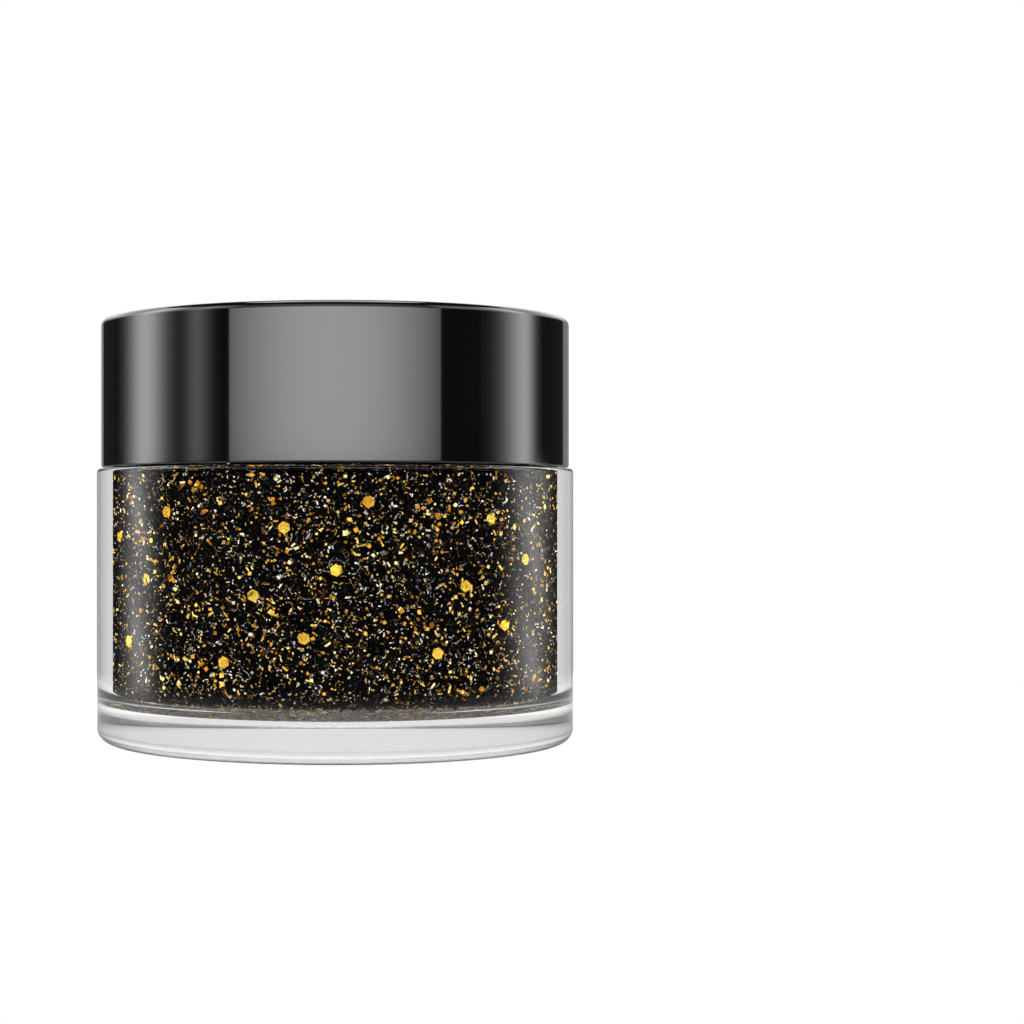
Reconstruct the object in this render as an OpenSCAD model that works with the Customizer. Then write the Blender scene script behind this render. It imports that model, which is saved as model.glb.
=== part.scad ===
// Double-wall cosmetic jar of loose glitter, closed with a screw lid.
// Millimetres, +Z up, origin on the table under the centre of the jar.

/* [Outer jar] */
// Outside diameter of the clear outer jar
jar_d = 50; // [40:0.5:80]
// Height of the outer jar, from the table to its rim
jar_h = 28; // [22:0.5:45]
// Side wall of the outer jar
jar_wall = 1.65; // [1.2:0.05:2]
// Clear floor of the outer jar
jar_floor = 4; // [2.5:0.1:7]
// Rounding of the outer foot edge
foot_r = 1.5; // [0.5:0.1:2]
// Rounding of the rim's outer edge
rim_r = 0.4; // [0.2:0.05:0.6]
// Width of the ring that the jar stands on, foot rounding included
foot_ring_w = 3.2; // [2.5:0.1:5]
// Depth of the recess inside that ring
foot_recess = 0.4; // [0.2:0.05:1]
// Fillet between the outer jar's floor and wall, inside
jar_corner_r = 1.8; // [0.5:0.1:2]

/* [Inner cup] */
// Air gap between the cup's side and the outer jar's wall
cup_gap = 0.2; // [0.1:0.05:0.4]
// Side wall of the cup
cup_wall = 0.85; // [0.7:0.05:1.2]
// Floor of the cup, which lies on the outer jar's floor
cup_floor = 1; // [0.8:0.1:2]
// Inside fillet between the cup's floor and side
cup_corner_r = 1.5; // [1.2:0.1:3]
// Thickness of the shoulder between side and neck
shoulder_t = 1; // [0.8:0.1:1.5]
// How far the shoulder lies below the outer jar's rim
shoulder_drop = 0.1; // [0:0.05:0.4]
// Height of the land that centres the cup in the outer jar
land_h = 1.2; // [0.8:0.1:2]
// Radial clearance of that land
land_fit = 0.03; // [0.02:0.01:0.06]

/* [Neck] */
// Wall of the neck, without its thread
neck_wall = 1.4; // [1:0.1:2]
// Height of the neck above the shoulder
neck_h = 12; // [10:0.5:18]
// Rounding of the neck's lip
lip_r = 0.4; // [0.2:0.05:0.5]

/* [Lid] */
// How far the overcap's side stands back from the jar's side
lid_step = 0.45; // [0:0.05:1]
// Open gap between the jar's rim and the overcap's edge
lid_gap = 0.6; // [0.3:0.1:1]
// Side wall of the overcap
overcap_wall = 1.15; // [0.8:0.05:1.8]
// Top of the overcap
overcap_top = 1.3; // [0.8:0.1:2]
// Rounding of the overcap's top edge
lid_edge_r = 0.7; // [0.3:0.1:0.8]
// Radial room for the thread between neck and inner cap
thread_room = 1; // [0.9:0.05:1.4]
// Side wall of the inner cap, without its ribs
cap_wall = 1.25; // [1:0.05:1.8]
// Top of the inner cap
cap_top = 1.3; // [0.8:0.1:2]
// How far the inner cap's edge stays inside the overcap's
cap_inset = 0.4; // [0.2:0.1:1]
// Depth of the press-fit ribs between inner cap and overcap
rib_depth = 0.8; // [0.6:0.05:1.2]
// Number of those ribs
rib_count = 48; // [12:4:60]
// Width of one rib
rib_w = 0.9; // [0.5:0.1:1.2]
// Radial clearance of the ribs in the overcap
rib_fit = 0.02; // [0.01:0.01:0.05]
// Lead-in chamfer at the top of the ribs
rib_chamfer = 0.6; // [0.3:0.1:1]

/* [Foam wad] */
// Thickness of the sealing wad
wad_t = 1.5; // [1:0.1:2.5]
// Radial clearance of the wad in the inner cap
wad_clear = 0.25; // [0.15:0.05:0.3]
// Radius of the bead that keeps the wad in the cap
bead_r = 0.5; // [0.4:0.05:0.7]
// Space between the bead and the wad
bead_clear = 0.1; // [0.05:0.05:0.3]

/* [Glitter] */
// Empty height between the glitter and the lip
headspace = 5.3; // [4.8:0.1:8]
// Space between the packed glitter and the cup, where flakes lie flat
fill_gap = 0.2; // [0.16:0.02:0.3]
// Corner-to-corner size of a large hexagonal flake
flake_d = 1.2; // [0.8:0.1:1.6]
// Thickness of a flake
flake_t = 0.1; // [0.06:0.02:0.12]
// Large flakes against the clear wall
wall_flakes = 60; // [24:12:120]
// Large flakes lying on top
top_flakes = 45; // [24:3:90]
// One flake in this many is black, and the others are gold
black_every = 3; // [2:1:6]

/* [Hidden] */
$fn = 96;
eps = 0.5;        // overshoot of cuts and roots of joined shapes
edge_r = 0.2;     // broken edges that have no size of their own
golden = 137.508; // golden angle, which spreads the flakes evenly

// Radii of jar and cup, from the outside in
jar_r = jar_d / 2;
jar_bore_r = jar_r - jar_wall;
land_r = jar_bore_r - land_fit;
cup_r = jar_bore_r - cup_gap;
cavity_r = cup_r - cup_wall;

// Radii of lid and neck, from the outside in
lid_r = jar_r - lid_step;
overcap_bore_r = lid_r - overcap_wall;
rib_tip_r = overcap_bore_r - rib_fit;
cap_r = overcap_bore_r - rib_depth;
cap_bore_r = cap_r - cap_wall;
wad_r = cap_bore_r - wad_clear;
neck_r = cap_bore_r - thread_room;
mouth_r = neck_r - neck_wall;

// Heights, from the table up
cavity_z = jar_floor + cup_floor;
shoulder_z = jar_h - shoulder_drop;
ceiling_z = shoulder_z - shoulder_t;
lip_z = shoulder_z + neck_h;
wad_top_z = lip_z + wad_t;
cap_top_z = wad_top_z + cap_top;
lid_top_z = cap_top_z + overcap_top;
lid_z = jar_h + lid_gap;
cap_z = lid_z + cap_inset;
bead_z = lip_z - bead_clear - bead_r;
fill_z = lip_z - headspace;

// The sliver between a square corner at the origin and an arc of radius r.
// Taken away it rounds an outer corner, and added it fillets an inner one.
module corner(r) {
    difference() {
        translate([-eps, -eps]) square(r + eps);
        translate([r, r]) circle(r);
    }
}

// That sliver at a corner [x, z], opening towards side = [+-1, +-1].
module corner_at(x, z, side, r) {
    translate([x, z])
        mirror([side[0] < 0 ? 1 : 0, 0])
            mirror([0, side[1] < 0 ? 1 : 0])
                corner(r);
}

// A half profile from z0 to z1 with its own rounding at bottom and top.
module barrel_profile(r, z0, z1, bottom_r, top_r) {
    difference() {
        translate([0, z0]) square([r, z1 - z0]);
        if (bottom_r > 0) corner_at(r, z0, [-1, 1], bottom_r);
        if (top_r > 0) corner_at(r, z1, [-1, -1], top_r);
    }
}

module outer_jar_profile() {
    difference() {
        barrel_profile(jar_r, 0, jar_h, foot_r, rim_r);
        // Space for the cup, open at the rim
        difference() {
            translate([0, jar_floor]) square([jar_bore_r, jar_h]);
            corner_at(jar_bore_r, jar_floor, [-1, 1], jar_corner_r);
        }
        corner_at(jar_bore_r, jar_h, [1, -1], edge_r);
        // Recess that leaves the jar standing on a ring
        barrel_profile(jar_r - foot_ring_w, -eps, foot_recess, 0, foot_recess / 2);
    }
}

module outer_jar() {
    color([0.86, 0.88, 0.89, 0.35])
        rotate_extrude() outer_jar_profile();
}

// The room inside the cup, made smaller by inset on every side but the floor.
module cavity_profile(inset, top_z) {
    side_r = cavity_r - inset;
    roof_z = ceiling_z - inset;
    throat_r = mouth_r - inset;
    barrel_profile(side_r, cavity_z, roof_z, cup_corner_r - inset, shoulder_t / 2);
    translate([0, roof_z - eps]) square([throat_r, top_z - roof_z + eps]);
    // Eased edge where the room narrows to the neck
    corner_at(throat_r, roof_z, [1, 1], shoulder_t / 2);
}

module inner_cup_profile() {
    difference() {
        union() {
            barrel_profile(cup_r, jar_floor, shoulder_z, cup_corner_r + cup_wall, edge_r);
            barrel_profile(land_r, shoulder_z - land_h, shoulder_z, edge_r, edge_r);
            barrel_profile(neck_r, cavity_z, lip_z, 0, lip_r);
            corner_at(neck_r, shoulder_z, [1, 1], lip_r);
        }
        cavity_profile(0, lip_z + eps);
        corner_at(mouth_r, lip_z, [1, -1], lip_r);
    }
}

module inner_cup() {
    color([0.9, 0.91, 0.92, 0.35])
        rotate_extrude() inner_cup_profile();
}

module glitter_fill() {
    color([0.06, 0.055, 0.05])
        rotate_extrude() cavity_profile(fill_gap, fill_z);
}

// One flake: a true hexagonal plate centred on the origin.
module hex_flake() {
    cylinder(h = flake_t, d = flake_d, center = true, $fn = 6);
}

function is_black(i) = i % black_every == black_every - 1;

// Flakes pressed flat between the packed glitter and the clear wall,
// on a helix of golden-angle steps with a small scatter in height.
module flakes_on_wall(black) {
    low = cavity_z + cup_corner_r + flake_d / 2;
    high = ceiling_z - shoulder_t / 2 - flake_d / 2 - fill_gap;
    step = (high - low) / wall_flakes;
    scatter = rands(0, step, wall_flakes, 11);
    spin = rands(0, 60, wall_flakes, 12);
    for (i = [0:wall_flakes - 1])
        if (is_black(i) == black)
            rotate(i * golden)
                translate([cavity_r - fill_gap / 2, 0, low + i * step + scatter[i]])
                    rotate([0, 90, 0])
                        rotate(spin[i])
                            hex_flake();
}

// Flakes lying on the level top in a sunflower pattern, each a little tilted.
module flakes_on_top(black) {
    reach = mouth_r - fill_gap - flake_d;
    tilt = rands(3, 20, top_flakes, 21);
    spin = rands(0, 360, top_flakes, 22);
    for (i = [0:top_flakes - 1])
        if (is_black(i) == black) {
            lift = flake_d / 2 * sin(tilt[i]) + flake_t / 2 * cos(tilt[i]) + flake_t / 5;
            rotate(i * golden)
                translate([reach * sqrt((i + 0.5) / top_flakes), 0, fill_z + lift])
                    rotate([0, tilt[i], spin[i]])
                        hex_flake();
        }
}

module gold_hex_flakes() {
    color([0.86, 0.64, 0.16]) {
        flakes_on_wall(false);
        flakes_on_top(false);
    }
}

module black_hex_flakes() {
    color([0.16, 0.16, 0.17]) {
        flakes_on_wall(true);
        flakes_on_top(true);
    }
}

// Shell of the inner cap with the bead that the wad snaps past.
module inner_cap_profile() {
    difference() {
        translate([0, cap_z]) square([cap_r, cap_top_z - cap_z]);
        translate([0, cap_z - eps]) square([cap_bore_r, wad_top_z - cap_z + eps]);
        corner_at(cap_bore_r, cap_z, [1, 1], edge_r);
        corner_at(cap_r, cap_top_z, [-1, -1], edge_r);
    }
    translate([cap_bore_r, bead_z]) circle(bead_r, $fn = 48);
}

// Upright rib that grips the overcap, chamfered at the top where it enters.
module press_rib() {
    root_r = cap_r - cap_wall / 2;
    crest_r = sqrt(pow(rib_tip_r, 2) - pow(rib_w / 2, 2));
    rotate([90, 0, 0])
        linear_extrude(rib_w, center = true)
            polygon([[root_r, cap_z], [crest_r, cap_z],
                     [crest_r, cap_top_z - rib_chamfer],
                     [crest_r - rib_chamfer, cap_top_z], [root_r, cap_top_z]]);
}

module inner_cap() {
    color([0.1, 0.1, 0.105]) {
        rotate_extrude() inner_cap_profile();
        for (i = [0:rib_count - 1])
            rotate(i * 360 / rib_count) press_rib();
    }
}

module overcap_profile() {
    difference() {
        barrel_profile(lid_r, lid_z, lid_top_z, edge_r, lid_edge_r);
        barrel_profile(overcap_bore_r, lid_z - eps, cap_top_z, 0, edge_r);
        corner_at(overcap_bore_r, lid_z, [1, 1], edge_r);
    }
}

module overcap() {
    color([0.07, 0.07, 0.075])
        rotate_extrude() overcap_profile();
}

module foam_wad() {
    color([0.93, 0.93, 0.91])
        translate([0, 0, lip_z]) cylinder(h = wad_t, r = wad_r);
}

outer_jar();
inner_cup();
glitter_fill();
gold_hex_flakes();
black_hex_flakes();
inner_cap();
overcap();
foam_wad();
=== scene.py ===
import math

import bpy
import numpy as np
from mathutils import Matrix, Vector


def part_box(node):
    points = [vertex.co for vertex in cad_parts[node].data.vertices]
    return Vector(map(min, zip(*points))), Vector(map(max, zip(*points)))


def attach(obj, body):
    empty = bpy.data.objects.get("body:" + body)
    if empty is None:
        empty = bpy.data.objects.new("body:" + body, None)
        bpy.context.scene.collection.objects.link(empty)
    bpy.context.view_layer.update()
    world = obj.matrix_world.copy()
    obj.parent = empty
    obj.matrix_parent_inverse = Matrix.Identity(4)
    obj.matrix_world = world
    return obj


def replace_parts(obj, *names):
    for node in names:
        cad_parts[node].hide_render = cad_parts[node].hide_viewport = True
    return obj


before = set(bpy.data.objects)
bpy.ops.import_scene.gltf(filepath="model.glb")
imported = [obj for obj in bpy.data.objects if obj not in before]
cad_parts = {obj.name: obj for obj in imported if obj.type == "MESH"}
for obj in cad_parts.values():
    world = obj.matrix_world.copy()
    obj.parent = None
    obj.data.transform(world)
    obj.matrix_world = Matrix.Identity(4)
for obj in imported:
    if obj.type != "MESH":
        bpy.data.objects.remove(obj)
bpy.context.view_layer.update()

# ---------------------------------------------------------------- sizes
# Metres throughout. What the frame already says is read from its boxes. The rest
# are wall thicknesses and roundings that the boxes can't tell.
MM = 0.001
FULL = 2 * math.pi

_, jar_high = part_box("outer_jar")
cup_low, cup_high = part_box("inner_cup")
fill_low, fill_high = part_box("glitter_fill")
_, cap_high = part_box("inner_cap")
lid_low, lid_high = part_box("overcap")
wad_low, wad_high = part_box("foam_wad")

JAR_R, JAR_TOP = jar_high.x, jar_high.z
JAR_FLOOR = cup_low.z
JAR_WALL = 1.65 * MM
JAR_BORE = JAR_R - JAR_WALL
FOOT_ROUND, RIM_ROUND, BORE_CORNER = 1.5 * MM, 0.4 * MM, 1.8 * MM
FOOT_RING, FOOT_RECESS = 3.2 * MM, 0.4 * MM
RIM_Z = JAR_TOP + 0.45 * MM
# Where the cup's foot is pressed into the jar: no gap shows below CREVICE_Z in the
# jar's bore and JOIN_Z on the cup, nor on the jar's floor outside JOIN_R.
CREVICE_Z, JOIN_Z, JOIN_R = JAR_FLOOR + 0.7 * MM, JAR_FLOOR + 2.0 * MM, 21.2 * MM

LAND_R = cup_high.x
LAND_PROUD, LAND_H = 0.17 * MM, 1.2 * MM
CUP_R = LAND_R - LAND_PROUD
CUP_WALL, CUP_FLOOR = 0.85 * MM, 1.0 * MM
CAVITY_R = CUP_R - CUP_WALL
CAVITY_Z = JAR_FLOOR + CUP_FLOOR
SHOULDER_Z = RIM_Z - 0.1 * MM
CEILING_Z = SHOULDER_Z - 0.3 * MM
LIP_Z = wad_low.z
NECK_R = CAVITY_R - 1.95 * MM
MOUTH_R = NECK_R - 1.4 * MM
CUP_CORNER, LIP_ROUND = 1.5 * MM, 0.4 * MM
# Roundings that several pieces share, from the sharpest moulded edge to an eased one.
CRISP, EDGE, EASED = 0.05 * MM, 0.2 * MM, 0.5 * MM

BED_R = fill_high.x
BED_THROAT = MOUTH_R - 0.2 * MM
BED_FOOT, BED_TOP = fill_low.z, fill_high.z
BED_SHOULDER = CEILING_Z - 0.05 * MM
BED_CORNER, BED_EDGE, HEAP_DEPTH = 2.2 * MM, 0.3 * MM, 0.22 * MM

LID_R, LID_Z, LID_TOP = lid_high.x, lid_low.z, lid_high.z
LID_BORE, LID_CEILING = LID_R - 1.15 * MM, cap_high.z
LID_ROUND = 0.7 * MM
CAP_RIBS, CAP_WALL = 0.78 * MM, 1.25 * MM
CAP_BORE = cap_high.x - CAP_RIBS - CAP_WALL
CAP_CREST = 20.9 * MM
WAD_R, WAD_ROUND = wad_high.x, 0.15 * MM
PRINT_DEPTH, PRINT_SIDE, PRINT_ROUND = 0.12 * MM, 0.15 * MM, 0.1 * MM

THREAD_PITCH, THREAD_RISE = 3.2 * MM, 0.45 * MM
THREAD_START, THREAD_TURNS = LIP_Z - 9.4 * MM, 2.1
RIDGE_HALF = 0.75 * MM

# How finely a turned piece is cut: round the turn, and round a bend of its profile.
TURNS, BEND_STEPS, SMALL_BEND_STEPS, SMALL_BEND = 288, 10, 4, 0.3 * MM


# ---------------------------------------------------------------- mesh code
def solid(name, places, sheets, normals=None, smooth=True):
    """A mesh object from corner places and face sheets. A sheet is a pair: rows of
    corner numbers, all faces in it having the same count, and a place on the unit
    square for each of those corners, kept as the piece's own map."""
    mesh = bpy.data.meshes.new(name)
    rows = [faces for faces, _ in sheets]
    corner = np.concatenate([f.ravel() for f in rows]).astype(np.int32)
    count = np.concatenate([np.full(len(f), f.shape[1]) for f in rows])
    start = np.concatenate([[0], np.cumsum(count)[:-1]]).astype(np.int32)
    mesh.vertices.add(len(places))
    mesh.vertices.foreach_set("co", np.asarray(places, np.float32).ravel())
    mesh.loops.add(len(corner))
    mesh.loops.foreach_set("vertex_index", corner)
    mesh.polygons.add(len(count))
    mesh.polygons.foreach_set("loop_start", start)
    layer = mesh.uv_layers.new(name="OFBake")
    spots = np.concatenate([m.reshape(-1, 2) for _, m in sheets])
    layer.data.foreach_set("uv", spots.astype(np.float32).ravel())
    mesh.polygons.foreach_set("use_smooth", np.full(len(count), smooth))
    mesh.update(calc_edges=True)
    if normals is not None:
        mesh.normals_split_custom_set_from_vertices(normals.tolist())
    piece = bpy.data.objects.new(name, mesh)
    bpy.context.scene.collection.objects.link(piece)
    return piece


def unit(v):
    """Each vector brought to length one."""
    return v / np.linalg.norm(v, axis=-1, keepdims=True)


def outline(corners, step=None):
    """A profile in the half plane (radius, height). Each corner is (radius, height,
    rounding): straight runs joined by arcs that touch both runs. An arc point is its
    start + rounding * (sin t along the run in + (1 - cos t) across it). Runs are cut
    into lengths of step, or only those that step numbers. Returns the points and, for
    each, the outward normal (rise, -run) of its tangent."""
    spots = np.array([(r, z) for r, z, _ in corners])
    runs = np.diff(spots, axis=0)
    ways = runs / np.linalg.norm(runs, axis=1)[:, None]
    points, tangents, here = [], [], spots[0]
    for k in range(len(ways)):
        into, end = ways[k], k == len(ways) - 1
        out = into if end else ways[k + 1]
        turn = math.atan2(into[0] * out[1] - into[1] * out[0], into @ out)
        bend = 0.0 if end else corners[k + 1][2]
        stop = spots[k + 1] - into * bend * math.tan(abs(turn) / 2)
        cut = step.get(k) if isinstance(step, dict) else step
        pieces = 1 if cut is None else max(1, math.ceil(np.linalg.norm(stop - here) / cut))
        along = np.linspace(0, 1, pieces + 1)[:, None]
        points.append(here + along * (stop - here))
        tangents.append(np.repeat(into[None], pieces + 1, 0))
        if not end:
            across = np.array([-into[1], into[0]]) * np.sign(turn)
            cuts = SMALL_BEND_STEPS if bend < SMALL_BEND else BEND_STEPS
            t = np.linspace(0, abs(turn), cuts + 1)[1:, None]
            points.append(stop + bend * (np.sin(t) * into + (1 - np.cos(t)) * across))
            tangents.append(np.cos(t) * into + np.sin(t) * across)
            here = points[-1][-1]
    points, tangents = np.concatenate(points), np.concatenate(tangents)
    fresh = np.r_[True, np.linalg.norm(np.diff(points, axis=0), axis=1) > 1e-7]
    points, tangents = points[fresh], tangents[fresh]
    return points, np.stack([tangents[:, 1], -tangents[:, 0]], 1)


def revolve(name, corners, step=None, relief=None):
    """A turned piece, closed at both ends on the axis. A point of the profile at angle
    a stands at (r cos a, r sin a, z); relief(r, z, a) may first move (r, z). Normals are
    the profile's own, or where relief moves a point, the cross product of the steps
    round the turn and along the profile."""
    profile, outward = outline(corners, step)
    n = TURNS
    a = np.arange(n) * FULL / n
    ring, out = profile[1:-1], outward[1:-1]
    plain_r = np.repeat(ring[:, :1], n, 1)
    plain_z = np.repeat(ring[:, 1:], n, 1)
    r, z = (plain_r, plain_z) if relief is None else relief(plain_r, plain_z, a[None, :])
    grid = np.stack([r * np.cos(a), r * np.sin(a), z], 2)
    centre = z[[0, -1]].mean(1)
    poles = np.array([[0, 0, centre[0]], [0, 0, centre[1]]])
    facing = np.stack([
        out[:, :1] * np.cos(a), out[:, :1] * np.sin(a), np.repeat(out[:, 1:], n, 1)], 2)
    square = np.cross(np.roll(grid, -1, 1) - np.roll(grid, 1, 1), np.gradient(grid, axis=0))
    square = unit(square) * np.sign((square * facing).sum(2, keepdims=True))
    moved = (np.abs(r - plain_r) + np.abs(z - plain_z) > 1e-6)[..., None]
    facing = np.where(moved, square, facing).reshape(-1, 3)
    grid = grid.reshape(-1, 3)
    ends = np.array([[0, 0, -1.0], [0, 0, 1.0]]) * np.sign([-outward[0, 1], outward[-1, 1]])[:, None]
    length = np.r_[0, np.cumsum(np.linalg.norm(np.diff(profile, axis=0), axis=1))]
    v = length / length[-1]
    i = np.arange(len(ring) - 1)[:, None]
    j = np.arange(n)[None, :]
    k = (j + 1) % n
    quads = np.stack([i * n + j, i * n + k, (i + 1) * n + k, (i + 1) * n + j], 2)
    u0, u1 = j / n + 0 * i, (j + 1) / n + 0 * i
    v0, v1 = v[i + 1] + 0 * j, v[i + 2] + 0 * j
    quad_map = np.stack([np.stack(p, 2) for p in ((u0, v0), (u1, v0), (u1, v1), (u0, v1))], 2)
    j, k = j[0], k[0]
    last = (len(ring) - 1) * n
    low = np.stack([0 * j + len(grid), k, j], 1)
    high = np.stack([last + j, last + k, 0 * j + len(grid) + 1], 1)
    mid = (j + 0.5) / n
    low_map = np.stack([np.stack(p, 1) for p in (
        (mid, 0 * mid), ((j + 1) / n, 0 * mid + v[1]), (j / n, 0 * mid + v[1]))], 1)
    high_map = np.stack([np.stack(p, 1) for p in (
        (j / n, 0 * mid + v[-2]), ((j + 1) / n, 0 * mid + v[-2]), (mid, 0 * mid + 1))], 1)
    sheets = [(quads.reshape(-1, 4), quad_map.reshape(-1, 4, 2)), (low, low_map), (high, high_map)]
    return solid(name, np.concatenate([grid, poles]), sheets, np.concatenate([facing, ends]))


def smooth_step(x):
    """0 below 0, 1 above 1, and 3x^2 - 2x^3 between."""
    x = np.clip(x, 0, 1)
    return x * x * (3 - 2 * x)


def thread_height(z, a):
    """How high the neck's single-start thread stands, 0 to 1, at height z and angle a.
    Its crest is at start + pitch * turns gone. Across the crest the height is a
    flat-topped ridge of that half width, and it fades in and out over a sixth of a turn."""
    gone = np.round((z - THREAD_START) / THREAD_PITCH - a / FULL) + a / FULL
    offset = np.abs(z - THREAD_START - THREAD_PITCH * gone)
    fade = smooth_step(gone * 6) * smooth_step((THREAD_TURNS - gone) * 6)
    return smooth_step((RIDGE_HALF - offset) / (0.5 * RIDGE_HALF)) * fade


def heap(x, y):
    """Loose filling: three slow waves across the bed and a finer one, 0 to 1."""
    slow = (np.sin(820 * x + 1.1) * np.cos(640 * y) + np.sin(510 * x - 760 * y)
            + np.cos(930 * y + 410 * x + 2.0))
    return 0.5 + slow / 7 + 0.07 * np.sin(2900 * x) * np.sin(3100 * y + 0.7)


# ---------------------------------------------------------------- chips
BED_PROFILE = [
    (0, BED_FOOT, 0), (BED_R, BED_FOOT, BED_CORNER), (BED_R, BED_SHOULDER, BED_EDGE),
    (BED_THROAT, BED_SHOULDER, EASED), (BED_THROAT, BED_TOP, BED_EDGE), (0, BED_TOP, 0)]


def bed_share(r, z, floor=0.8, wall=1.0, shoulder=0.4, throat=0.4, top=1.1):
    """How thickly each part of the filling's outside is strewn."""
    return np.select([z < BED_FOOT + 0.4 * MM, z > BED_TOP - 0.25 * MM, r > BED_R - 0.4 * MM,
                      z < BED_SHOULDER + 0.3 * MM], [floor, top, wall, shoulder], throat)


def strewn(count, seed, profile, share):
    """Places spread over a turned surface. A place's chance follows the area it stands
    for, 2 pi r ds, times share(r, z). Returns places and their outward directions."""
    rng = np.random.default_rng(seed)
    path, outward = outline(profile, step=0.1 * MM)
    mid = (path[1:] + path[:-1]) / 2
    ds = np.linalg.norm(np.diff(path, axis=0), axis=1)
    weight = np.cumsum(mid[:, 0] * ds * share(mid[:, 0], mid[:, 1]))
    k = np.searchsorted(weight, rng.random(count) * weight[-1])
    t = rng.random(count)[:, None]
    spot = path[k] * (1 - t) + path[k + 1] * t
    out = unit(outward[k] * (1 - t) + outward[k + 1] * t)
    a = rng.random(count) * FULL
    place = np.stack([spot[:, 0] * np.cos(a), spot[:, 0] * np.sin(a), spot[:, 1]], 1)
    facing = np.stack([out[:, 0] * np.cos(a), out[:, 0] * np.sin(a), out[:, 1]], 1)
    if profile is BED_PROFILE:
        flat = (out[:, 1] > 0.8) & (spot[:, 1] > BED_TOP - 0.5 * MM)
        place[:, 2] -= flat * HEAP_DEPTH * (1 - heap(place[:, 0], place[:, 1]))
    return place, facing, rng


def across(facing, spin):
    """Two unit directions square to facing, the first turned by spin about it."""
    side = unit(np.cross(facing, np.where(np.abs(facing[:, 2:]) > 0.9, [[1.0, 0, 0]], [[0, 0, 1.0]])))
    other = np.cross(facing, side)
    c, s = np.cos(spin)[:, None], np.sin(spin)[:, None]
    first = side * c + other * s
    return first, np.cross(facing, first)


def chips(name, place, facing, size, shape, thick, tone, rng):
    """Flat closed chips. A corner is place + size * (x first + y second) +- thick / 2
    along facing, where (x, y) are the corners of shape. A chip's map lies at its tone
    across the unit square and spans it upwards, so colour can follow both."""
    first, second = across(facing, rng.random(len(place)) * FULL)
    shape = np.asarray(shape, float)
    k = len(shape)
    stretch = rng.uniform(0.72, 1.2, (len(place), k))
    x, y = shape[:, 0] * stretch, shape[:, 1] * stretch
    flat = place[:, None] + size[:, None, None] * (
        x[..., None] * first[:, None] + y[..., None] * second[:, None])
    half = facing[:, None] * (thick / 2)
    corners = np.concatenate([flat - half, flat + half], 1)
    base = np.arange(len(place))[:, None] * 2 * k
    n = np.arange(k)
    nxt = (n + 1) % k
    low = base + n[::-1][None]
    high = base + k + n[None]
    side = base[:, :, None] + np.stack([n, nxt, nxt + k, n + k], 1)[None]
    u = tone[:, None] + 0.012 * shape[:, 0] / np.abs(shape[:, 0]).max()
    v = 0.5 + 0.46 * shape[:, 1] / np.abs(shape[:, 1]).max() + 0 * u
    spot = np.stack([u, v], 2)
    wide = [0.006, 0]
    edge = np.stack([spot[:, n], spot[:, nxt], spot[:, nxt] + wide, spot[:, n] + wide], 2)
    sheets = [(low, spot[:, ::-1]), (high, spot), (side.reshape(-1, 4), edge.reshape(-1, 4, 2))]
    return solid(name, corners.reshape(-1, 3), sheets, smooth=False)


def ring_shape(k, narrow=1.0):
    """k corners round a circle of radius one, squeezed across by narrow."""
    a = (np.arange(k) + 0.5) * FULL / k
    return np.stack([np.cos(a), narrow * np.sin(a)], 1)


def leaning(facing, spread, rng):
    """Each direction tipped at random, by about spread radians."""
    return unit(facing + rng.normal(0, spread, facing.shape))


def clumps(place):
    """Loose patches in the filling, 0 to 1: three slow waves through it, added up."""
    x, y, z = place.T
    return 0.5 + (np.sin(930 * x + 510 * z + 0.4) + np.sin(780 * y - 690 * z + 1.9)
                  + np.sin(1130 * z + 620 * x - 620 * y)) / 6


def speckle(name, count, seed, shape, sizes, spread, finish, profile=BED_PROFILE, share=bed_share,
            depth=(-0.10 * MM, 0.11 * MM), thick=0.02 * MM, gather=0.0):
    """Chips strewn over a surface, sunk or raised along its normal by depth. Small ones
    are the most: the size is low + (high - low) * chance squared. With gather above 0
    they are bigger in the filling's clumps, and below 0 between them."""
    place, facing, rng = strewn(count, seed, profile, share)
    place = place + facing * rng.uniform(*depth, count)[:, None]
    size = sizes[0] * MM + (sizes[1] - sizes[0]) * MM * rng.random(count) ** 2
    size = size * (1 + gather * (2 * clumps(place) - 1))
    tone = rng.uniform(0.02, 0.98, count)
    piece = chips(name, place, leaning(facing, spread, rng), size, shape, thick, tone, rng)
    return dressed(piece, finish, "jar")


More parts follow.
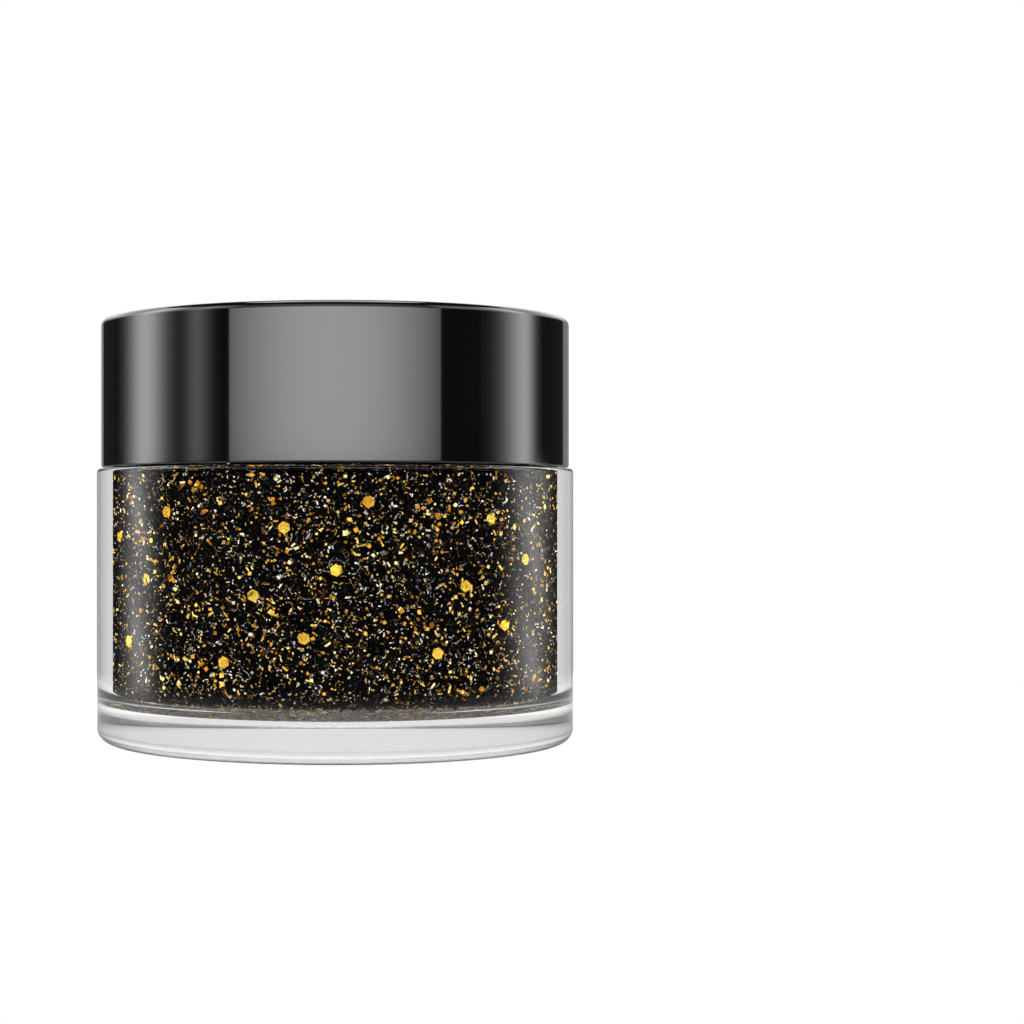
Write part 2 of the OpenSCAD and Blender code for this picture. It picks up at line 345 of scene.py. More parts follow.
def strands(name, count, seed, share, finish, bend=(0.25, 1.1), span=(0.7, 2.6),
            thick=0.06 * MM, spread=0.35):
    """Fine curled hairs: each is an arc lying near the surface, of a random radius in
    millimetres from bend and a random turn in radians from span, with a three-cornered
    section. A point of it is centre + R (cos t first + sin t second)."""
    place, facing, rng = strewn(count, seed, BED_PROFILE, share)
    facing = leaning(facing, spread, rng)
    first, second = across(facing, rng.random(count) * FULL)
    knots = 7
    reach = rng.uniform(*bend, count) * MM
    span = rng.uniform(*span, count)
    t = (np.linspace(-0.5, 0.5, knots)[None] * span[:, None])[..., None]
    radius = reach[:, None, None]
    centre = place + facing * 0.05 * MM - first * reach[:, None]
    line = centre[:, None] + radius * (np.cos(t) * first[:, None] + np.sin(t) * second[:, None])
    out = np.cos(t) * first[:, None] + np.sin(t) * second[:, None]
    b = np.arange(3) * FULL / 3
    thin = (thick / 2 * (1 - 0.6 * np.abs(np.linspace(-1, 1, knots)) ** 3))[None, :, None, None]
    tube = line[:, :, None] + thin * (
        np.cos(b)[:, None] * out[:, :, None] + np.sin(b)[:, None] * facing[:, None, None])
    base = np.arange(count)[:, None, None] * knots * 3
    i, j = np.arange(knots - 1)[:, None], np.arange(3)[None]
    k = (j + 1) % 3
    wall = base[..., None] + np.stack([i * 3 + j, (i + 1) * 3 + j, (i + 1) * 3 + k, i * 3 + k], 2)[None]
    tone = rng.uniform(0.02, 0.97, count)[:, None, None, None, None]
    u = tone + 0.02 * np.stack([j, j, j + 1, j + 1], 2)[..., None] / 3 + 0 * i[..., None, None]
    v = 0.04 + 0.9 * np.stack([i, i + 1, i + 1, i], 2)[..., None] / (knots - 1) + 0 * u
    flat = base[:, 0]
    starts = flat + np.arange(3)[None]
    ends = flat + (knots - 1) * 3 + np.arange(3)[None, ::-1]
    tone = tone[:, 0, 0, :, 0]
    tip = np.stack([tone + np.array([0, 0.01, 0.02]), 0.05 + 0 * tone + np.array([0, 0.02, 0])], 2)
    wall_map = np.concatenate([u, v], -1).reshape(-1, 4, 2)
    sheets = [(wall.reshape(-1, 4), wall_map), (starts, tip), (ends, tip)]
    return dressed(solid(name, tube.reshape(-1, 3), sheets), finish, "jar")


# ---------------------------------------------------------------- materials
# Past four clear walls the view has met the filling and come out again: where that
# starts, and how softly.
MANY_WALLS = 4.4, 0.2


class Wire:
    """One output of a node. + - * with a wire or a number add Math nodes."""

    def __init__(self, bench, socket):
        self.bench, self.socket = bench, socket

    def math(self, operation, *terms):
        return self.bench.node("ShaderNodeMath", {"operation": operation}, dict(enumerate(terms)))

    def __add__(self, other):
        return self.math("ADD", self, other)

    def __radd__(self, other):
        return self.math("ADD", other, self)

    def __sub__(self, other):
        return self.math("SUBTRACT", self, other)

    def __rsub__(self, other):
        return self.math("SUBTRACT", other, self)

    def __mul__(self, other):
        return self.math("MULTIPLY", self, other)

    def __rmul__(self, other):
        return self.math("MULTIPLY", other, self)

    def above(self, edge, soft):
        """0 below edge, 1 above edge + soft, smooth between."""
        return self.bench.node("ShaderNodeMapRange", {"interpolation_type": "SMOOTHSTEP"},
                               {"Value": self, "From Min": edge, "From Max": edge + soft})


class Bench:
    """A tree of nodes, and the one method that adds to it."""

    def __init__(self, tree):
        self.tree = tree
        self.tree.nodes.clear()

    def node(self, kind, settings, sockets, output=0):
        """Adds a node: its settings first, then its sockets' values or wires."""
        made = self.tree.nodes.new(kind)
        for key, value in settings.items():
            if key == "stops":
                marks = made.color_ramp.elements
                marks[0].position, marks[0].color = value[0]
                marks[1].position, marks[1].color = value[-1]
                for place, colour in value[1:-1]:
                    marks.new(place).color = colour
            else:
                setattr(made, key, value)
        for key, value in sockets.items():
            if isinstance(value, Wire):
                self.tree.links.new(value.socket, made.inputs[key])
            else:
                made.inputs[key].default_value = value
        return made if output is None else Wire(self, made.outputs[output])

    def outputs(self, kind, *names):
        """Several outputs of one node, as wires."""
        made = self.node(kind, {}, {}, None)
        return [Wire(self, made.outputs[n]) for n in names]

    def mix(self, factor, first, second):
        """The first shader where factor is 0, the second where it is 1."""
        return self.node("ShaderNodeMixShader", {}, {0: factor, 1: first, 2: second})

    def white(self, strength, kind="ShaderNodeEmission"):
        """Plain white light of that strength."""
        return self.node(kind, {}, {"Color": (1, 1, 1, 1), "Strength": strength})

    def white_by_ray(self, kind, seen, few, many, other):
        """White light of four strengths: as the eye sees it, through few clear walls,
        through many, and as everything else meets it."""
        eye, clear, walls = self.outputs(
            "ShaderNodeLightPath", "Is Camera Ray", "Is Transmission Ray", "Transmission Depth")
        through = self.mix(walls.above(*MANY_WALLS), self.white(few, kind), self.white(many, kind))
        return self.mix(eye, self.mix(clear, self.white(other, kind), through), self.white(seen, kind))


class Finish(Bench):
    """A material and the nodes that make it."""

    def __init__(self, name, **shader):
        self.material = bpy.data.materials.new(name)
        self.material.use_nodes = True
        super().__init__(self.material.node_tree)
        self.shader = self.node("ShaderNodeBsdfPrincipled", {}, shader)
        self.end = self.node("ShaderNodeOutputMaterial", {}, {"Surface": self.shader}, None)

    def show(self, shader):
        """Puts this shader on the surface instead of the plain one."""
        self.tree.links.new(shader.socket, self.end.inputs["Surface"])

    def feed(self, **wires):
        """Joins wires to the main shader's sockets; underscores stand for spaces."""
        for key, wire in wires.items():
            self.tree.links.new(wire.socket, self.shader.socket.node.inputs[key.replace("_", " ")])

    def here(self):
        """The object's own coordinates."""
        return self.node("ShaderNodeTexCoord", {}, {}, "Object")

    def map(self):
        """The piece's own map: across and up."""
        both = self.node("ShaderNodeUVMap", {"uv_map": "OFBake"}, {})
        split = self.node("ShaderNodeSeparateXYZ", {}, {0: both}, None)
        return Wire(self, split.outputs[0]), Wire(self, split.outputs[1])

    def noise(self, scale, detail=2.0, rough=0.5, vector=None):
        """Cloudy noise, 0 to 1, with that many waves to a metre."""
        return self.node("ShaderNodeTexNoise", {}, {
            "Vector": vector or self.here(), "Scale": scale, "Detail": detail, "Roughness": rough})

    def ramp(self, wire, *stops):
        """Colours along a wire's values; a stop is (value, (red, green, blue))."""
        return self.node("ShaderNodeValToRGB", {"stops": [(p, (*c, 1)) for p, c in stops]}, {0: wire})

    def blend(self, factor, first, second, way="MIX"):
        """Two colours mixed, or multiplied where way says so."""
        return self.node("ShaderNodeMix", {"data_type": "RGBA", "blend_type": way},
                         {0: factor, 6: first, 7: second}, 2)

    def bump(self, height, strength, distance):
        """A bump on the main shader's normal, distance in metres."""
        self.feed(Normal=self.node("ShaderNodeBump", {}, {
            "Strength": strength, "Distance": distance, "Height": height}))


def clear_acrylic(name="clear_acrylic", index=1.49, glance=False, haze=0.0, join=False):
    """Clear moulded acrylic: water-white, with faint haze where hands and cartons rub,
    and a very slight moulding ripple. The lamps reach the filling through it. Where a
    wall lies against the next one or against the filling, its index is that of what it
    touches; with glance, such a wall mirrors only what strikes it at a flat angle, and
    with join, two walls are pressed together so that nothing shows between them."""
    f = Finish(name, **{"Base Color": (0.985, 0.99, 0.992, 1),
                        "Transmission Weight": 1.0, "IOR": index})
    rub = f.noise(90, 3).above(0.55, 0.3)
    f.feed(Roughness=haze + rub * 0.012)
    if glance:
        f.feed(Alpha=f.node("ShaderNodeFresnel", {}, {"IOR": index}).above(0.85, 0.1))
    elif join:
        f.shader.socket.node.inputs["Alpha"].default_value = 0.0
    else:
        f.bump(f.noise(120, 1), 0.05, 0.01 * MM)
    shadow = f.node("ShaderNodeLightPath", {}, {}, "Is Shadow Ray")
    through = f.node("ShaderNodeBsdfTransparent", {}, {"Color": (0.93, 0.94, 0.945, 1)})
    f.show(f.mix(shadow, f.shader, through))
    return f.material


def gloss_black(name="black_gloss"):
    """Polished black styrene: near-black body under a clear skin, dust-fine haze."""
    f = Finish(name, **{"Base Color": (0.0035, 0.0035, 0.004, 1), "Coat Weight": 1.0,
                        "Coat Roughness": 0.02, "Coat IOR": 1.5, "IOR": 1.5})
    cloud = f.noise(60, 3)
    f.feed(Roughness=0.04 + cloud * 0.05,
           Base_Color=f.ramp(cloud, (0.3, (0.003, 0.003, 0.0035)), (0.7, (0.0055, 0.0055, 0.006))))
    return f.material


def satin_black(name="black_liner"):
    """Matt-moulded black cap lining with a fine eroded grain and paler rubbed spots."""
    f = Finish(name, IOR=1.48)
    grain, wear = f.noise(3200, 2), f.noise(240, 4).above(0.6, 0.2)
    f.feed(Base_Color=f.blend(wear, (0.012, 0.012, 0.013, 1), (0.022, 0.022, 0.023, 1)),
           Roughness=0.34 + grain * 0.18 - wear * 0.08)
    f.bump(grain, 0.25, 0.02 * MM)
    return f.material


def white_foam(name="white_foam"):
    """Closed-cell liner foam: tiny cells, slightly creamy."""
    f = Finish(name, IOR=1.4)
    cells = f.node("ShaderNodeTexVoronoi", {"feature": "F1"}, {
        "Vector": f.here(), "Scale": 2600.0}, "Distance")
    cloud = f.noise(300, 3)
    f.feed(Base_Color=f.ramp(cloud, (0.25, (0.76, 0.755, 0.73)), (0.75, (0.86, 0.86, 0.845))),
           Roughness=0.62 + cloud * 0.2)
    f.bump(cells, 0.5, 0.05 * MM)
    return f.material


def loose_glitter(name="black_glitter"):
    """The mass under the chips: thousands of packed fine flecks, each cell a tone of
    its own, nearly all black, some graphite, a few gold and silver."""
    f = Finish(name, **{"IOR": 1.5, "Specular IOR Level": 0.03})
    here = f.here()
    cells = {"Vector": here, "Scale": 7000.0, "Randomness": 1.0}
    colour = f.node("ShaderNodeTexVoronoi", {"feature": "F1"}, cells, "Color")
    parts = f.node("ShaderNodeSeparateColor", {}, {0: colour}, None)
    pick, shine, lean = (Wire(f, parts.outputs[n]) for n in range(3))
    body = f.ramp(pick, (0.0, (0.0003, 0.0003, 0.0004)), (0.75, (0.001, 0.001, 0.0011)),
                  (0.9, (0.004, 0.004, 0.0045)), (0.97, (0.02, 0.02, 0.022)), (1.0, (0.10, 0.05, 0.008)))
    f.feed(Base_Color=body, Metallic=pick.above(0.6, 0.1), Roughness=0.28 + shine * 0.4)
    f.bump(lean + f.noise(5200, 1, vector=here) * 0.5, 0.7, 0.06 * MM)
    return f.material


def foil(name, stops, rough, haze):
    """Metallised film. Tone runs across the chip's own map; up it, a painted sheen makes the
    chip a little brighter towards one end, as light would along a curled chip, and its shine changes with
    tone."""
    f = Finish(name, Metallic=1.0)
    tone, up = f.map()
    # Painted sheen: the base colour runs from 0.72 to 1.12 up each chip's map, standing in for light on a
    # curl.
    painted_sheen = 0.72 + up * 0.4
    painted_sheen = f.node("ShaderNodeCombineColor", {}, {0: painted_sheen, 1: painted_sheen, 2: painted_sheen})
    spot = f.node("ShaderNodeCombineXYZ", {}, {0: tone, 1: up})
    f.feed(Base_Color=f.blend(1.0, f.ramp(tone, *stops), painted_sheen, "MULTIPLY"),
           Roughness=rough + haze * f.noise(14, 1, vector=spot))
    return f.material


def hex_foil(name, first, second, rough):
    """The big punched hexagons: bright film with cloudy tone from flake to flake and
    fine press marks."""
    f = Finish(name, Metallic=1.0)
    tone, cloud, marks = f.noise(170, 1), f.noise(420, 2), f.noise(5200, 2)
    f.feed(Base_Color=f.ramp(tone * 0.7 + cloud * 0.3, (0.35, first), (0.65, second)),
           Roughness=rough + marks * 0.14)
    f.bump(cloud + marks * 0.01, 1.0, 0.8 * MM)
    return f.material


def dressed(piece, finish, body):
    """Gives a piece its material and the body that it moves with."""
    piece.data.materials.clear()
    piece.data.materials.append(finish)
    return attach(piece, body)


ACRYLIC = clear_acrylic()
ACRYLIC_BORE = clear_acrylic("clear_acrylic_bore", glance=True)
ACRYLIC_TOUCHED = clear_acrylic("clear_acrylic_touched", index=1.0)
ACRYLIC_GROUND = clear_acrylic("clear_acrylic_ground", haze=0.22)
ACRYLIC_JOINED = clear_acrylic("clear_acrylic_joined", join=True)
BLACK = gloss_black()
LINER = satin_black()
FOAM = white_foam()
GLITTER = loose_glitter()
GOLD = foil("gold_foil", [
    (0.0, (0.30, 0.09, 0.006)), (0.22, (0.64, 0.28, 0.02)), (0.5, (0.90, 0.52, 0.06)),
    (0.78, (0.96, 0.72, 0.22)), (1.0, (0.96, 0.90, 0.66))], 0.07, 0.12)
SILVER = foil("silver_foil", [
    (0.0, (0.16, 0.16, 0.165)), (0.4, (0.50, 0.50, 0.51)), (0.8, (0.86, 0.86, 0.86)),
    (1.0, (0.96, 0.94, 0.89))], 0.07, 0.12)
GRAPHITE = foil("graphite_foil", [
    (0.0, (0.0003, 0.0003, 0.0004)), (0.6, (0.0012, 0.0012, 0.0014)),
    (0.85, (0.008, 0.008, 0.009)), (1.0, (0.05, 0.05, 0.055))], 0.08, 0.16)
GOLD_HEX = hex_foil("gold_hex_foil", (0.66, 0.28, 0.01), (0.99, 0.72, 0.10), 0.12)
BLACK_HEX = hex_foil("black_hex_foil", (0.0015, 0.0015, 0.0017), (0.006, 0.006, 0.007), 0.2)

# ---------------------------------------------------------------- jar and cup
jar_shell = revolve("outer_jar_shell", [
    (0, FOOT_RECESS, 0), (JAR_R - FOOT_RING, FOOT_RECESS, FOOT_RECESS / 2),
    (JAR_R - FOOT_RING, 0, 0.08 * MM), (JAR_R, 0, FOOT_ROUND), (JAR_R, RIM_Z, RIM_ROUND),
    (JAR_BORE, RIM_Z, EDGE), (JAR_BORE, JAR_FLOOR, BORE_CORNER), (0, JAR_FLOOR, 0)])
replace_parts(dressed(jar_shell, ACRYLIC, "jar"), "outer_jar")


def line_inside(piece, finish, inside, place=1):
    """Gives the faces whose middles pass inside(radius, height) another finish, which
    takes that place in the piece's list of finishes, the first being 0."""
    piece.data.materials.append(finish)
    middle = np.zeros(len(piece.data.polygons) * 3, np.float32)
    piece.data.polygons.foreach_get("center", middle)
    middle = middle.reshape(-1, 3)
    chosen = np.zeros(len(middle), np.int32)
    piece.data.polygons.foreach_get("material_index", chosen)
    chosen[inside(np.hypot(middle[:, 0], middle[:, 1]), middle[:, 2])] = place
    piece.data.polygons.foreach_set("material_index", chosen)


IN_BORE = JAR_BORE + 0.02 * MM
line_inside(jar_shell, ACRYLIC_BORE, lambda r, z: (z > CREVICE_Z) & (r < IN_BORE))
line_inside(jar_shell, ACRYLIC_JOINED, lambda r, z: (
    (z > FOOT_ROUND) & (z < CREVICE_Z) & (r > JOIN_R) & (r < IN_BORE)), 2)
line_inside(jar_shell, ACRYLIC_GROUND, lambda r, z: z < FOOT_ROUND, 3)


def neck_relief(r, z, a):
    """The screw thread stands out of the neck's outer wall."""
    wall = (r > NECK_R - 0.01 * MM) & (r < NECK_R + 0.01 * MM)
    return r + wall * THREAD_RISE * thread_height(z, a), z


# The cup's foot stands this far off the jar's floor, so that the two never share a face.
SIT = 0.03 * MM
CUP_PROFILE = [
    (0, JAR_FLOOR + SIT, 0), (CUP_R, JAR_FLOOR + SIT, CUP_CORNER + CUP_WALL),
    (CUP_R, SHOULDER_Z - LAND_H, CRISP),
    (LAND_R, SHOULDER_Z - LAND_H + LAND_PROUD, CRISP), (LAND_R, SHOULDER_Z, EDGE),
    (NECK_R, SHOULDER_Z, LIP_ROUND), (NECK_R, LIP_Z, LIP_ROUND),
    (MOUTH_R, LIP_Z, LIP_ROUND), (MOUTH_R, CEILING_Z, EASED),
    (CAVITY_R, CEILING_Z, EASED), (CAVITY_R, CAVITY_Z, CUP_CORNER), (0, CAVITY_Z, 0)]
# The neck's wall, which carries the thread, is run 5 of the profile and is cut finely.
NECK_RUN = 5
cup_shell = revolve("inner_cup_shell", CUP_PROFILE, step={NECK_RUN: 0.16 * MM}, relief=neck_relief)
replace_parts(dressed(cup_shell, ACRYLIC, "jar"), "inner_cup")
line_inside(cup_shell, ACRYLIC_TOUCHED, lambda r, z: (
    (z > JOIN_Z) & (z < SHOULDER_Z - EDGE) | (r < MOUTH_R + 0.1 * MM) & (z > CEILING_Z) & (z < BED_TOP)))
line_inside(cup_shell, ACRYLIC_JOINED, lambda r, z: z < JOIN_Z, 2)


def heaped(r, z, a):
    """The filling's top is a little uneven; its sides press flat against the cup."""
    x, y = r * np.cos(a), r * np.sin(a)
    top = smooth_step((z - BED_TOP + 0.25 * MM) / (0.2 * MM)) * smooth_step((BED_THROAT - r) / (0.6 * MM))
    return r, z - top * HEAP_DEPTH * (1 - heap(x, y))


bed = revolve("glitter_bed", BED_PROFILE, step=0.35 * MM, relief=heaped)
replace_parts(dressed(bed, GLITTER, "jar"), "glitter_fill")

# ---------------------------------------------------------------- glitter
def hair_share(r, z):
    """Hairs lie mostly on top of the filling and along its wall."""
    return bed_share(r, z, 0.1, 0.5, 0.2, 0.3, 1.4)


def stray_share(r, z):
    """Dust that clings to the cup: thick at its foot, thin on shoulder, neck and lip."""
    return np.select([z < BED_FOOT, z < SHOULDER_Z - 0.1 * MM, r < MOUTH_R + 0.02 * MM],
                     [3.0 * (r > 20 * MM), 0.0, 0.0], 0.6)


SQUARE, SLIVER, HEXAGON = ring_shape(4), ring_shape(4, 0.32), ring_shape(6)
SUNK, BURIED = (-0.10 * MM, 0.08 * MM), (-0.10 * MM, 0.06 * MM)
CLINGING = (0.005 * MM, 0.02 * MM)
for piece, slot in (
        (speckle("gold_chips", 13500, 11, SQUARE, (0.08, 0.27), 0.2, GOLD, gather=0.5), "gold_foil"),
        (speckle("gold_grit", 11500, 18, SQUARE, (0.04, 0.13), 0.22, GOLD, gather=0.3), "gold_foil"),
        (speckle("gold_slivers", 13000, 12, SLIVER, (0.10, 0.42), 0.22, GOLD,
                 depth=SUNK, gather=0.45), "gold_foil"),
        (speckle("silver_chips", 13500, 13, SQUARE, (0.04, 0.14), 0.2, SILVER,
                 gather=-0.3), "black_foil"),
        (speckle("silver_slivers", 12500, 19, SLIVER, (0.06, 0.28), 0.22, SILVER,
                 gather=-0.3), "black_foil"),
        (speckle("graphite_chips", 6000, 14, HEXAGON, (0.12, 0.36), 0.34, GRAPHITE,
                 depth=BURIED, gather=-0.3), "black_foil"),
        (speckle("graphite_slivers", 7000, 15, SLIVER, (0.12, 0.40), 0.36, GRAPHITE,
                 depth=BURIED, gather=-0.3), "black_foil"),
        (strands("silver_hairs", 1800, 16, hair_share, SILVER), "black_foil"),
        (strands("gold_curls", 3600, 20, bed_share, GOLD, bend=(0.10, 0.34), span=(1.4, 3.6),
                 thick=0.10 * MM, spread=0.25), "gold_foil"),
        (speckle("stray_dust", 2600, 17, SQUARE, (0.03, 0.09), 0.5, GOLD, profile=CUP_PROFILE,
                 share=stray_share, depth=CLINGING, thick=0.01 * MM), "gold_foil")):
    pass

# ---------------------------------------------------------------- lid
lid_shell = revolve("overcap_shell", [
    (0, LID_CEILING, 0), (LID_BORE, LID_CEILING, EDGE), (LID_BORE, LID_Z, EDGE), (LID_R, LID_Z, EDGE),
    (LID_R, LID_TOP, LID_ROUND), (0, LID_TOP, 0)])
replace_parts(dressed(lid_shell, BLACK, "lid"), "overcap")

# The jar's lip has pressed its print, a shallow groove, into the wad's face.
print_z = wad_low.z + PRINT_DEPTH
wad = revolve("wad_liner", [
    (0, wad_low.z, 0), (MOUTH_R - PRINT_SIDE, wad_low.z, PRINT_ROUND),
    (MOUTH_R, print_z, PRINT_ROUND), (NECK_R, print_z, PRINT_ROUND),
    (NECK_R + PRINT_SIDE, wad_low.z, PRINT_ROUND),
    (WAD_R, wad_low.z, WAD_ROUND), (WAD_R, wad_high.z, WAD_ROUND), (0, wad_high.z, 0)])
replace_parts(dressed(wad, FOAM, "seal"), "foam_wad")


def cap_thread():
    """The cap's own thread, a ridge round its bore: at angle t the section's centre is
    (bore, start + pitch t / 2 pi), and the section is a half round that stands inwards
    and sinks to nothing at both ends."""
    turns, steps, ring = 1.8, 300, 9
    t = np.linspace(0, turns, steps + 1)
    rise = (CAP_BORE - CAP_CREST) * smooth_step(t * 6) * smooth_step((turns - t) * 6) + 0.01 * MM
    b = np.linspace(0, FULL, ring, endpoint=False)
    r = CAP_BORE + 0.05 * MM - (rise + 0.05 * MM)[:, None] * (0.5 + 0.5 * np.cos(b))
    half = 0.55 * MM * (0.3 + 0.7 * rise / rise.max())[:, None]
    z = THREAD_START + THREAD_PITCH * (t[:, None] + 0.5) + half * np.sin(b)
    a = (t * FULL)[:, None]
    places = np.stack([r * np.cos(a), r * np.sin(a), z], 2).reshape(-1, 3)
    i, j = np.arange(steps)[:, None], np.arange(ring)[None]
    k = (j + 1) % ring
    walls = np.stack([i * ring + j, i * ring + k, (i + 1) * ring + k, (i + 1) * ring + j], 2)
    walls = walls.reshape(-1, 4)
    u, v = i / steps + 0 * j, j / ring + 0 * i
    du, dv = 1 / steps, 1 / ring
    spots = np.stack([np.stack(p, 2) for p in (
        (u, v), (u, v + dv), (u + du, v + dv), (u + du, v))], 2).reshape(-1, 4, 2)
    tips = np.stack([np.arange(ring)[::-1], steps * ring + np.arange(ring)])
    tip_map = np.stack([0.5 + 0.4 * np.cos(b), 0.5 + 0.4 * np.sin(b)], 1)[None].repeat(2, 0)
    return solid("cap_thread", places, [(walls, spots), (tips, tip_map)])


dressed(cap_thread(), LINER, "lid")

for node, finish in (
        ("inner_cap", LINER), ("gold_hex_flakes", GOLD_HEX), ("black_hex_flakes", BLACK_HEX)):
    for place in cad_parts[node].material_slots:
        place.material = finish

# ---------------------------------------------------------------- studio
RING_R, RING_LOW, RING_HIGH = 0.9, -0.42, 0.9
PANEL_LOW, PANEL_HIGH, TENT_LOW = 0.048, 0.134, 0.13
PANEL_EDGE, BACK_LEFT, BACK_RIGHT = 50.3, -156, 146
SPARKLE_LOW, SPARKLE_HIGH = 0.08, 2.6
TABLE_R, TABLE_GAP = 0.055, 0.03 * MM


def strip(a, middle, width):
    """A soft-sided strip of light: e to minus the square of (a - middle) / width."""
    return np.exp(-((a - middle) / width) ** 2)


def light_strength(a, z):
    """How bright the light ring is at azimuth a in degrees from the camera's side, right
    positive, and height z. A broad front panel, brightest in its middle, starts just
    above the jar and fades just above the lid. A weak lobe stands left of it. A tall soft
    strip stands on each side, further back and uneven where it is low. A faint light
    covers the back, and an even tent is above them all but the front."""
    low = z < PANEL_LOW
    ahead = np.abs(a) < PANEL_EDGE
    front = (0.9 + 2.9 * (1 - ((a + 2) / 52) ** 2)) * ahead
    front = front * (1 - 0.82 * smooth_step((z - PANEL_HIGH) / 0.04))
    lobe = 0.85 * strip(a, -68, 6.6)
    left = np.where(low, 2.8 * strip(a, -105, 10), 2.5 * strip(a, -101, 12.5))
    right = np.where(low, 2.8 * strip(a, 104, 12.5),
                     2.35 * strip(a, 101.5, np.where(a < 101.5, 13.5, 7.5)))
    patchy = np.where(low, 0.8 + 0.2 * np.sin(95 * z + np.radians(a) * 14), 1.0)
    tent = 1.1 * smooth_step((z - TENT_LOW) / 0.25) * ~ahead
    back = 0.24 * ((a < BACK_LEFT) | (a > BACK_RIGHT))
    return (front + lobe) * ~low + (left + right) * patchy + tent + back


def sparkle_strength(a, z):
    """Uneven light for what lies behind several clear walls, so that each tilted chip
    finds a bright patch or a dark one: the patches are half of 1 + sin(7.54 a) times
    cos(13.3 z + 3 a), to the power 1.5, with a in radians, and they grow stronger
    towards the back, where the chips at the sides look."""
    turned = np.radians(a)
    wave = 0.5 + 0.5 * np.sin(7.54 * turned) * np.cos(13.3 * z + 3 * turned)
    patch = SPARKLE_LOW + (SPARKLE_HIGH - SPARKLE_LOW) * wave ** 1.5
    return patch * (1 + 1.4 * smooth_step((np.abs(a) - 85) / 40))


def light_ring(name, strength_at, z, deep=False):
    """A tall cylinder of light round the object: (R sin a, -R cos a, z), faces inwards,
    its strength kept at each corner as a colour attribute. It hides nothing behind it,
    and with deep it lights only what is seen through more than four walls."""
    a = np.radians(np.linspace(-180, 180, 361))
    turned, level = np.broadcast_arrays(a[:, None], z)
    places = np.stack([RING_R * np.sin(turned), -RING_R * np.cos(turned), level], 2)
    rows, n = len(a) - 1, len(z)
    i, j = np.arange(rows)[:, None], np.arange(n - 1)[None]
    quads = np.stack([i * n + j, i * n + j + 1, (i + 1) * n + j + 1, (i + 1) * n + j], 2)
    quads = quads.reshape(-1, 4)
    strength = strength_at(np.degrees(a)[:, None], z[None, :]).ravel()[quads]
    lit = strength.max(1) > 0.02
    quads, strength = quads[lit], strength[lit]
    ring = solid(name, places.reshape(-1, 3), [(quads, np.zeros((len(quads), 4, 2)))], smooth=False)
    colour = np.repeat(strength.ravel()[:, None], 4, 1)
    layer = ring.data.attributes.new("glow", "FLOAT_COLOR", "CORNER")
    layer.data.foreach_set("color", colour.astype(np.float32).ravel())
    f = Finish(name)
    colour = f.node("ShaderNodeAttribute", {"attribute_name": "glow"}, {}, "Color")
    glow = f.node("ShaderNodeEmission", {}, {"Color": colour, "Strength": 1.0})
    clear = f.node("ShaderNodeBsdfTransparent", {}, {})
    both = f.node("ShaderNodeAddShader", {}, {0: glow, 1: clear})
    if deep:
        walls = f.node("ShaderNodeLightPath", {}, {}, "Transmission Depth")
        both = f.mix(walls.above(*MANY_WALLS), clear, both)
    f.show(both)
    ring.data.materials.append(f.material)
    ring.visible_camera = False
    ring.visible_glossy = ring.visible_diffuse = not deep
    ring.visible_transmission = deep
    return ring


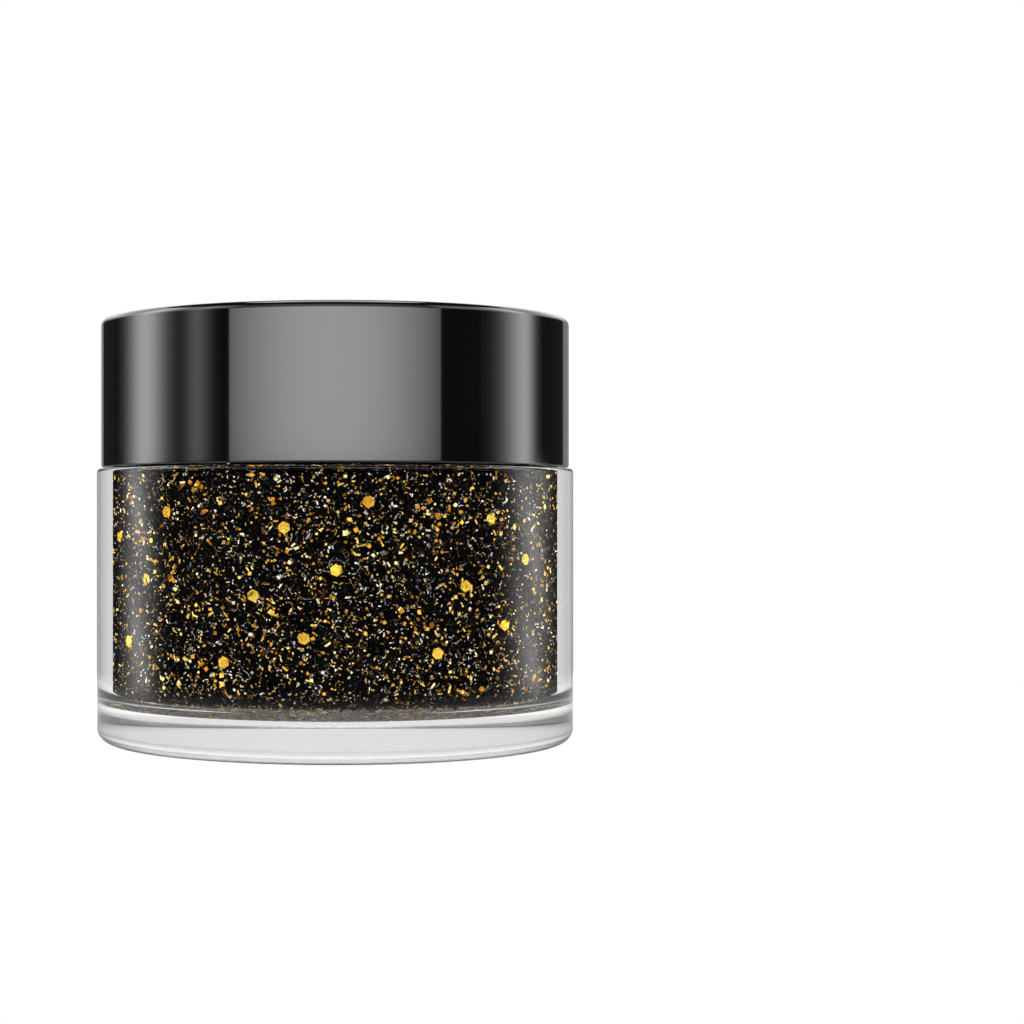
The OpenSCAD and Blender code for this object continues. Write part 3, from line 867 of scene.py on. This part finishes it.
def floor():
    """A round white table under the object, (r cos a, r sin a), which fades away beyond
    TABLE_R, so that its edge doesn't show."""
    corners = 128
    a = np.linspace(0, FULL, corners, endpoint=False)
    r = np.array([0.04, 0.07, 0.12])
    r, a = np.broadcast_arrays(r[:, None], a)
    places = np.stack([r * np.cos(a), r * np.sin(a), 0 * a - TABLE_GAP], 2).reshape(-1, 3)
    i, j = np.arange(len(r) - 1)[:, None], np.arange(corners)[None]
    k = (j + 1) % corners
    quads = np.stack([i * corners + j, (i + 1) * corners + j,
                      (i + 1) * corners + k, i * corners + k], 2).reshape(-1, 4)
    sheets = [(quads, np.zeros((len(quads), 4, 2))), (j, np.zeros((1, corners, 2)))]
    table = solid("table", places, sheets, smooth=False)
    f = Finish("table_white", **{"Roughness": 0.9, "Specular IOR Level": 0.0})
    f.feed(Base_Color=f.ramp(f.noise(900, 3), (0.3, (0.78, 0.78, 0.78)), (0.7, (0.82, 0.82, 0.82))))
    glow = f.white_by_ray("ShaderNodeEmission", seen=0.75, few=0.34, many=0.95, other=0.0)
    both = f.node("ShaderNodeAddShader", {}, {0: f.shader, 1: glow})
    reach = f.node("ShaderNodeVectorMath", {"operation": "LENGTH"}, {0: f.here()}, "Value")
    clear = f.node("ShaderNodeBsdfTransparent", {}, {})
    f.show(f.mix(reach.above(TABLE_R, 0.06), both, clear))
    table.data.materials.append(f.material)
    return table


LIGHT_ROWS = np.r_[RING_LOW, np.linspace(-0.12, PANEL_LOW - MM, 15), PANEL_LOW + MM,
                   np.linspace(TENT_LOW, RING_HIGH, 60)]
light_ring("light_ring", light_strength, LIGHT_ROWS)
light_ring("sparkle_ring", sparkle_strength, np.linspace(-1.1, 1.1, 45), deep=True)
floor()

lamp = bpy.data.lights.new("top_softbox", "AREA")
lamp.shape, lamp.size, lamp.energy = "SQUARE", 0.6, 3.0
lamp.use_nodes = True
# The softbox is a quarter as bright at one side and grows to seven quarters at the other.
cloth = Bench(lamp.node_tree)
spot = cloth.node("ShaderNodeNewGeometry", {}, {}, "Parametric")
up = cloth.node("ShaderNodeSeparateXYZ", {}, {0: spot}, "Y")
cloth.node("ShaderNodeOutputLight", {}, {
    "Surface": cloth.white(0.25 + up.above(0.1, 0.8) * 1.5)}, None)
top = bpy.data.objects.new("top_softbox", lamp)
top.location = (0, 0.05, 0.95)
top.visible_camera = False
bpy.context.scene.collection.objects.link(top)

world = bpy.data.worlds.new("studio")
world.cycles.sampling_method = "NONE"
world.use_nodes = True
bpy.context.scene.world = world
# White to the eye and behind a few clear walls, and a dark room everywhere else.
sky = Bench(world.node_tree)
sky.node("ShaderNodeOutputWorld", {}, {"Surface": sky.white_by_ray(
    "ShaderNodeBackground", seen=1.0, few=0.8, many=0.02, other=0.02)}, None)

# ---------------------------------------------------------------- camera
# Level and near, a little above the object's middle. The shift sets it left in the frame.
eye = bpy.data.cameras.new("camera")
eye.sensor_width, eye.lens, eye.shift_x = 36, 74.88, 0.1728
eye.clip_start, eye.clip_end = 0.01, 10
camera = bpy.data.objects.new("camera", eye)
camera.location = (0, -0.225, 0.02394)
camera.rotation_euler = (math.pi / 2, 0, 0)
bpy.context.scene.collection.objects.link(camera)
bpy.context.scene.camera = camera
bpy.context.scene.view_settings.view_transform = "Standard"
